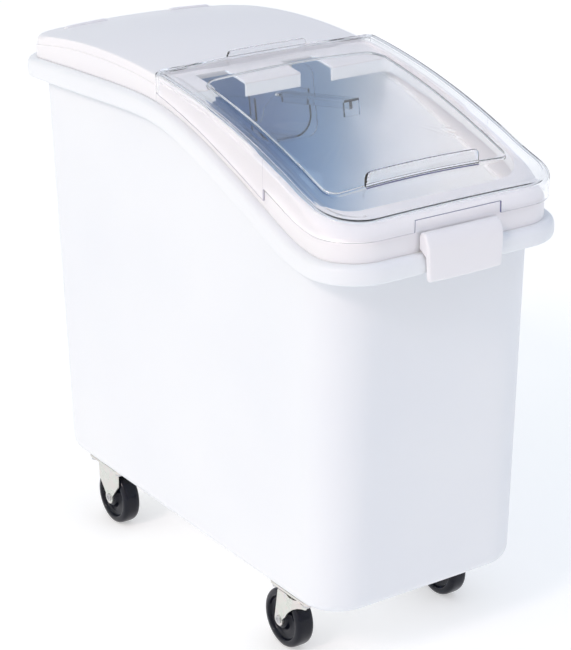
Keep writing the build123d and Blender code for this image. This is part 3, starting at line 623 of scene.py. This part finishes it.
# low stops on the cover's rear edge, locating skirt, latch lugs
g = Build()
for x0, x1 in ((-110, -48), (48, 110)):
    rr = []
    n = 16
    for i in range(n + 1):
        x = x0 + (x1 - x0) * i / n
        e = min(1.0, min(i, n - i) / 1.2 + 0.25)
        rr.append([(x, yy, lidz(yy, R_RAIL + CROWN * crown(x)) + h * e) for yy, h in ((317.6, -2.0), (317.8, 1.6), (318.6, 2.8), (320, 3.2), (324.2, 3.2), (325.4, 2.8), (326.2, 1.6), (326.2, -2.0))])
    g.loft(rr, cap0=True, cap1=True)
stops = g.obj("lid_stops", MAT["lid"], "lid", None, recalc=True)
g = Build()
PO, PI, SH = rg((148.2, -331.8, 334.8, 57, 57)), rg((145.7, -329.3, 332.3, 54.5, 54.5)), rg((153.2, -357.8, 357.8, 50.8, 50.8))
rt = lambda d: (lambda x, y: RIM_TOP(y) + d)
g.loft(rows_of([SH, SH, PI, PI, mix(PI, PO, 0.5), PO, PO, PO], [rt(0.35), rt(3.3), rt(3.3), rt(-11.6), rt(-12.2), rt(-11.6), rt(-0.6), rt(0.35)]), closed_rows=True)
# painted shade: the locating skirt under the lid takes the painted-shade material
skirt_w = g.obj("lid_locating_skirt", MAT["inside"], "lid", None, recalc=True)
g = Build()
PY, PZ = -364.5, 560.5
for sx in (-30, 30):
    o = [(PY + 4.4 * math.cos(math.radians(a)), PZ + 4.4 * math.sin(math.radians(a))) for a in range(90, 271, 20)] + [(-357.4, PZ - 4.4), (-357.4, PZ + 1.2)]
    g.prism(o, sx - 4, sx + 4, 0.5)
lugs = g.obj("latch_lugs", MAT["lid"], "lid", None, recalc=True)
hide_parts("lid_base")

# ---------------------------------------------------------------- front latch
LF = -377.6
sec = [(-361.6, 564.9), (-364.2, 565.9), (-366.6, 565.8), (-368.6, 564.7), (-370.6, 563.0), (-372.5, 560.7), (-374.2, 557.9), (-375.6, 554.8), (-376.7, 551.4), (-377.3, 548.0), (LF, 544.4),
       (LF, 540.0), (LF, 534.0), (LF, 527.0), (LF, 520.0), (LF, 515.2), (-377.35, 513.4), (-376.7, 512.1), (-375.6, 511.4), (-373.2, 511.3)]


def latch_rows(off, rr):
    """Rows of the latch's shell from left to right, off inside its outer face, its ends rounded rr."""
    n = len(sec)
    out = []
    marks = [(-1, None)] + [(-1, a) for a in (0, 15, 30, 45, 60, 75, 90)] + [(0, x) for x in lin(-42, 42, 12)] + [(1, a) for a in (90, 75, 60, 45, 30, 15, 0)] + [(1, None)]
    for side, v in marks:
        row = []
        for j in range(n):
            a, b = sec[max(0, j - 1)], sec[min(n - 1, j + 1)]
            t = Vector((b[0] - a[0], b[1] - a[1])).normalized()
            ang = math.radians(0 if v is None else v) if side else 0.0
            ins = off + (rr * (1 - math.sin(ang)) if side else 0.0)
            y, z = sec[j][0] - t.y * ins, sec[j][1] + t.x * ins
            hw = 53.0 - 1.8 * min(1.0, max(0.0, (545 - z) / 30.0))
            x = side * (hw - off - rr * (1 - math.cos(ang))) if side else v
            z -= 1.1 * (1 - (x / 53.0) ** 2) * min(1.0, max(0.0, (530 - z) / 14.0))
            if side and v is None:
                back = -372.9 if z < 542 else (-372.9 + (z - 542) / 4 * 11.3 if z < 546 else -361.6)
                y = max(y, back)
            row.append((x, min(y, -361.6), z))
        out.append(row)
    return out


g = Build()
sides = []
for off, rr in ((0.0, 3.4), (2.4, 1.2)):
    ids = [g.add(r) for r in latch_rows(off, rr)]
    sides.append(ids)
    for a, b in zip(ids, ids[1:]):
        for i in range(len(a) - 1):
            g.f.append((a[i], a[i + 1], b[i + 1], b[i]))
edge = [(0, j) for j in range(len(sec))] + [(i, len(sec) - 1) for i in range(1, len(sides[0]))]
edge += [(len(sides[0]) - 1, j) for j in range(len(sec) - 2, -1, -1)] + [(i, 0) for i in range(len(sides[0]) - 2, 0, -1)]
for (i0, j0), (i1, j1) in zip(edge, edge[1:] + edge[:1]):
    g.f.append((sides[0][i0][j0], sides[0][i1][j1], sides[1][i1][j1], sides[1][i0][j0]))
latch = g.obj("latch", MAT["lid"], "latch", "front_latch", angle=50, recalc=True)

# ---------------------------------------------------------------- clear sliding lid
CFX = steps(lin(0, 1, 20), [(x + 104.5) / 209 for x in (-60.15, -59.85, 59.85, 60.15)])
CFY = steps(lin(0, 1, 56), [(y + 307) / 315 for y in (-215.7, -215.4)])
REAR_A = [6, 14, 22, 31, 40, 49, 57, 61, 68, 76, 84]
cr = lambda P: ring(P, CFX, CFY, 18, REAR_A)
OUT = cr((160, -362.5, 17, 55.5, 9))
INN = cr((143, -344.5, 2.5, 40, 8.5))
band = lambda d: mix(OUT, INN, d / 17.0)
floor_z = lambda x, y: lidz(y, 1092.3 + CROWN * crown(x))
bead_z = lambda x, y: lidz(y, 1097 + 2.2 * crown(x))


def skirt_z(x, y):
    if abs(x) < 157.3 and y > 8:
        return lidz(y, 1089.8 + CROWN * crown(x))
    if y > 16.9:
        return 657.2
    if y >= -215.55:
        return SKIRT_REAR(y)
    if y < -355 and abs(x) < 60.0:
        return 580.5
    return SKIRT_FRONT(max(y, -379))


SK = [skirt_z(x, y) for x, y in OUT]
SHO = 4.4                                      # outer radius of the shoulder
PAN = lambda o: cr((127 + o, -297 - o, -37 + o, 16 + o, 20 + o))
CEN = cr((2.0, -172, -164, 0.8, 0.8))
fz = lambda x, y: floor_z(x, y)
R = Rings()


def wall_row(d, f):
    """Ring of the skirt, d in from the outside, f up from its lower edge (mm, or a share of its height when under 1)."""
    out = []
    for (x, y), s_ in zip(band(d), SK):
        t_ = bead_z(x, y) - SHO
        out.append((x, y, s_ + (f if f >= 1 else f * (t_ - s_))))
    R.rows.append(out)


R.rows.append([(x, y, s_) for (x, y), s_ in zip(band(0.5), SK)])
R.rows.append([(x, y, s_ + 0.12) for (x, y), s_ in zip(band(0.12), SK)])
R.rows.append([(x, y, s_ + 0.5) for (x, y), s_ in zip(band(0.0), SK)])
for f in (0.15, 0.5, 0.85):
    wall_row(0.0, f)
for a in (0, 13, 26, 39, 52, 65, 78, 90):
    R.put(band(SHO * (1 - math.cos(math.radians(a)))), lambda x, y, a=a: bead_z(x, y) - SHO + SHO * math.sin(math.radians(a)))
GROOVE = ((5.4, 0.0), (6.6, -0.02), (7.3, -0.2), (7.8, -0.6), (8.3, -0.95), (9.0, -1.1), (10.4, -1.15), (11.6, -1.3), (12.6, -1.7))
for d, h in GROOVE:
    R.put(band(d), lambda x, y, h=h: bead_z(x, y) + h)
FALL_D = 24.0
FALL = ((13.6, 0.05), (15.2, 0.17), (17.0, 0.36), (19.0, 0.62), (21.0, 0.83), (FALL_D, 1.0))
fall = lambda s_, dz=0.0: (lambda x, y: (bead_z(x, y) - 1.7) * (1 - s_) + min(fz(x, y), bead_z(x, y) - 1.7) * s_ + dz)
for d, s_ in FALL:
    R.put(band(d), fall(s_))
flat = lambda t, dz=0.0: (lambda x, y: (fz(x, y) if t > 0.45 else min(fz(x, y), bead_z(x, y) - 1.7) * (1 - t / 0.5) + fz(x, y) * t / 0.5) + dz)
FLOOR_T = (0.12, 0.3, 0.5, 0.7, 0.86, 0.95)
for t in FLOOR_T:
    R.put(mix(band(FALL_D), PAN(1.6), t), flat(t))
STEP = ((1.6, 0.0), (0.9, 0.12), (0.35, 0.5), (0.0, 1.2), (-0.25, 2.1), (-0.6, 2.8), (-1.2, 3.25), (-2.0, 3.4), (-4.0, 3.45))
for o, h in STEP:
    R.put(PAN(o), lambda x, y, h=h: fz(x, y) + h)
CT = (0.06, 0.14, 0.24, 0.34, 0.45, 0.56, 0.67, 0.78, 0.88, 0.96)
for t in CT:
    R.put(mix(PAN(-4.0), CEN, t), lambda x, y: fz(x, y) + 3.45)
n_top = len(R.rows)
for t in reversed(CT):
    R.put(mix(PAN(-4.0), CEN, t), lambda x, y: fz(x, y) + 3.45 - T)
for o, h in reversed(STEP):
    R.put(PAN(o - 1.0), lambda x, y, h=h: fz(x, y) + h - T)
for t in reversed(FLOOR_T):
    R.put(mix(band(FALL_D), PAN(1.6), t), flat(t, -T))
for d, s_ in reversed(FALL):
    R.put(band(d + 0.4), fall(s_, -T))
R.put(band(11.0), lambda x, y: bead_z(x, y) - 1.4 - T), R.put(band(7.0), lambda x, y: bead_z(x, y) - 1.0 - T)
for a in (90, 68, 45, 22, 0):
    R.put(band(T + 2.2 * (1 - math.cos(math.radians(a)))), lambda x, y, a=a: bead_z(x, y) - SHO - 0.8 + 2.2 * math.sin(math.radians(a)))
for f in (0.8, 0.4, 0.12):
    wall_row(T, f)
R.rows.append([(x, y, s_ + 0.5) for (x, y), s_ in zip(band(T), SK)])
R.rows.append([(x, y, s_ + 0.12) for (x, y), s_ in zip(band(T - 0.12), SK)])
R.rows.append([(x, y, s_) for (x, y), s_ in zip(band(T - 0.5), SK)])
g = Build()
ids = g.loft(R.rows[:n_top], cap1=True)
ids2 = g.loft(R.rows[n_top:], cap0=True)
n_ = len(ids[0])
for i in range(n_):
    j = (i + 1) % n_
    g.f.append((ids2[-1][i], ids2[-1][j], ids[0][j], ids[0][i]))
clear_lid = g.obj("clear_lid", MAT["clear"], "clear_lid", "sliding_lid", angle=40)
clear_lid.data.materials.append(MAT["painted_dark_reflection"])
clear_lid.data.materials.append(MAT["painted_edge_shade"])
# painted reflection: dark navy on the front notch's lower and side faces; painted shade: grey on the skirt's cut end
# and its lower edges
for f in clear_lid.data.polygons:
    c, nrm = f.center, f.normal
    x, y, z = c.x * 1000, (c.y - YS) * 1000, (c.z - ZS) * 1000
    if y < -355 and abs(x) < 60.4 and z < 581.3 and (nrm.z < -0.3 or abs(nrm.x) > 0.5):
        f.material_index = 1
    elif abs(x) > 150 and -215.8 < y < -215.2 or (nrm.z < -0.6 and z < SKIRT_REAR(y) + 1.0 and (abs(x) > 157 or y < -359)):
        f.material_index = 2

# upright finger plate on the panel's front edge, and the pull on the rear edge
g = Build()


def plate(g, hw, hw_top, y0, y1, foot, height, r):
    """Thin upright plate along x that follows the surface below it, with rounded upper corners."""
    n = 44
    rr = []
    for i in range(n + 1):
        s = -1 + 2 * i / n
        s = math.copysign(1 - (1 - abs(s)) ** 1.35, s) if abs(s) > 0.4 else s
        x = hw * s
        e = max(0.0, (abs(x) - (hw - r)) / r)
        hh = height - (r * 0.85) * (1 - math.sqrt(max(0.0, 1 - e * e)))
        b = foot(x)
        m = (y0 + y1) / 2
        t = (y1 - y0) / 2
        rr.append([(x, m - t - 0.35, b), (x, m - t, b + 1.2), (x, m - t + 0.25, b + hh - 1.1), (x, m - t + 0.7, b + hh - 0.35), (x, m, b + hh),
                   (x, m + t - 0.7, b + hh - 0.35), (x, m + t - 0.25, b + hh - 1.1), (x, m + t, b + 1.2), (x, m + t + 0.35, b)])
    g.loft(rr, cap0=True, cap1=True)


plate(g, 79, 76, -298.0, -294.8, lambda x: fz(x, -296.5) + 1.2, lidz(-296.5, 1115.5) - lidz(-296.5, 1092.3 + CROWN) - 1.2, 7)
plate(g, 57, 55, 12.4, 15.8, lambda x: bead_z(x, 14) - 0.2, 7.6, 6)
grips = g.obj("clear_lid_grips", MAT["clear"], "clear_lid", None, recalc=True, angle=40)
g = Build()                                      # painted reflection: dark line where the finger plate meets the panel
rr = []
for x in lin(-78.6, 78.6, 44):
    b_ = fz(x, -298.3)
    rr.append([(x, -299.0, b_ - 0.2), (x, -298.9, b_ + 0.9), (x, -298.3, b_ + 1.15), (x, -297.6, b_ + 0.9), (x, -297.5, b_ - 0.2)])
g.loft(rr, cap0=True, cap1=True)
root = g.obj("clear_lid_grip_painted_dark_line", MAT["painted_dark_reflection"], "clear_lid", None, recalc=True)

# ---------------------------------------------------------------- wheels
TX_, FY_, RY_, AZ_ = 117.0, -199.0, 212.0, 41.4
half = [(0, 38.0), (3.5, 37.97), (6.5, 37.8), (8.6, 37.3), (10.2, 36.3), (11.2, 34.8), (11.75, 32.8), (12.0, 30.6), (11.9, 29.4), (11.5, 28.7), (10.6, 28.2),
        (8.2, 27.6), (7.0, 26.9), (6.4, 25.6), (6.1, 23.6), (6.0, 20.5), (6.15, 17.0), (6.6, 15.0), (7.6, 13.9), (9.4, 13.1), (11.6, 12.3), (12.9, 11.8), (13.4, 11.1), (13.4, 6.6)]
prof = [(-x, r) for x, r in reversed(half[1:])] + half
for nm, cx, cy in (("front_left", -TX_, FY_), ("front_right", TX_, FY_), ("rear_left", -TX_, RY_), ("rear_right", TX_, RY_)):
    g = Build()
    g.lathe(prof, (cx, cy, AZ_), n=120)
    m_ = len(prof)                               # bore, between the last and first points of the profile
    for k in range(120):
        a0, b0 = k * m_, ((k + 1) % 120) * m_
        g.f.append((a0 + m_ - 1, a0, b0, b0 + m_ - 1))
    g.obj("tyre_" + nm, MAT["wheel"], "wheel_" + nm, "wheel_" + nm, recalc=True, angle=50)

# pressed and turned pieces: softened edges
for n, w in (("fork_front_left", 0.5), ("fork_front_right", 0.5), ("rigid_forks", 0.5), ("swivel_plates", 0.5), ("axle_front_left", 0.3), ("axle_front_right", 0.3),
             ("rear_axles", 0.3), ("axle_nut_front_left", 0.4), ("axle_nut_front_right", 0.4), ("rear_axle_nuts", 0.4), ("caster_bolts", 0.4), ("scoop", 0.8), ("scoop_hook", 0.8)):
    o = NODES[n]
    o.data.shade_smooth()
    o.data.set_sharp_from_angle(angle=math.radians(30))
    md = o.modifiers.new("edges", "BEVEL")
    md.width = w * 0.001
    md.segments = 3
    md.limit_method = "ANGLE"
    md.angle_limit = math.radians(38)
    md.harden_normals = True

# ---------------------------------------------------------------- floor, light, camera
m, nt, b = new_mat("floor_paper")
v = texco(nt)
nn = noise(nt, v, 1.5, 3.0, 0.5)
nt.links.new(ramp(nt, nn.outputs["Fac"], [(0.3, (0.70, 0.70, 0.70)), (0.7, (0.71, 0.71, 0.71))]), b.inputs["Base Color"])
b.inputs["Roughness"].default_value = 0.9
b.inputs["Specular IOR Level"].default_value = 0.1
b.inputs["Emission Color"].default_value = (1.0, 1.0, 1.0, 1)
b.inputs["Emission Strength"].default_value = 0.43
me = bpy.data.meshes.new("floor")
s = 60.0
me.from_pydata([(-s, -s, 0), (s, -s, 0), (s, s, 0), (-s, s, 0)], [], [(0, 1, 2, 3)])
floor = bpy.data.objects.new("floor", me)
me.materials.append(m)
bpy.context.scene.collection.objects.link(floor)

world = bpy.data.worlds.new("studio")
bpy.context.scene.world = world
world.use_nodes = True
bg = world.node_tree.nodes["Background"]
bg.inputs["Color"].default_value = (0.859, 0.908, 1.0, 1)
wl = world.node_tree.nodes.new("ShaderNodeLightPath")
wm = maprange(world.node_tree, wl.outputs["Is Diffuse Ray"], 0.0, 1.0, 0.74, 0.445)
world.node_tree.links.new(wm, bg.inputs["Strength"])


def sun(name, direction, strength, angle, color=(1, 1, 1)):
    d = bpy.data.lights.new(name, "SUN")
    d.energy = strength
    d.angle = math.radians(angle)
    d.color = color
    o = bpy.data.objects.new(name, d)
    bpy.context.scene.collection.objects.link(o)
    o.rotation_euler = Vector(direction).to_track_quat("-Z", "Y").to_euler()
    return o


for nm, d, angle, rgb in (("left", (1.0, 0.0, -0.30), 60, (0.667, 0.613, 0.663)), ("left_front", (0.8, 0.6, -0.35), 60, (0.252, 0.176, 0.129)),
                          ("right", (-0.8, 0.5, -0.5), 60, (0.214, 0.202, 0.250)), ("top", (0.0, 0.1, -1.0), 80, (0.621, 0.752, 0.882)),
                          ("left_back", (0.8, -0.55, -0.5), 60, (0.342, 0.328, 0.156)), ("key", (0.85, 0.25, -0.75), 12, (0.664, 0.554, 0.511)),
                          ("front", (0.1, 1.0, -0.25), 60, (0.060, 0.030, 0.030))):
    rgb = [c * (0.865 if nm in ("left", "left_back") else 0.92) for c in rgb]
    sun(nm, d, max(rgb), angle, tuple(c / max(rgb) for c in rgb))

AZ, EL, DIST, ROLL, F, PX, PY = math.radians(-33.79295), math.radians(21.39110), 2.7248, math.radians(-0.49444), 2152.22, 275.758, 325.641
back = Vector((math.sin(AZ) * math.cos(EL), -math.cos(AZ) * math.cos(EL), math.sin(EL)))
target = Vector((0, YS, 0.32956 + ZS))
fwd = -back
right = fwd.cross(Vector((0, 0, 1))).normalized()
down = fwd.cross(right)
xu = right * math.cos(ROLL) - down * math.sin(ROLL)
yd = right * math.sin(ROLL) + down * math.cos(ROLL)
cam = bpy.data.cameras.new("photo_camera")
co = bpy.data.objects.new("photo_camera", cam)
bpy.context.scene.collection.objects.link(co)
R = Matrix((xu, -yd, back)).transposed()
co.matrix_world = Matrix.Translation(target + back * DIST) @ R.to_4x4()
cam.sensor_width = 36.0
cam.lens = F * 36.0 / 650.0
cam.shift_x = (285.5 - PX) / 650.0
cam.shift_y = (PY - 325.0) / 650.0
cam.clip_end = 60
bpy.context.scene.camera = co
bpy.context.scene.view_settings.view_transform = "Standard"
bpy.context.scene.view_settings.look = "None"
bpy.context.scene.view_settings.exposure = 0.0
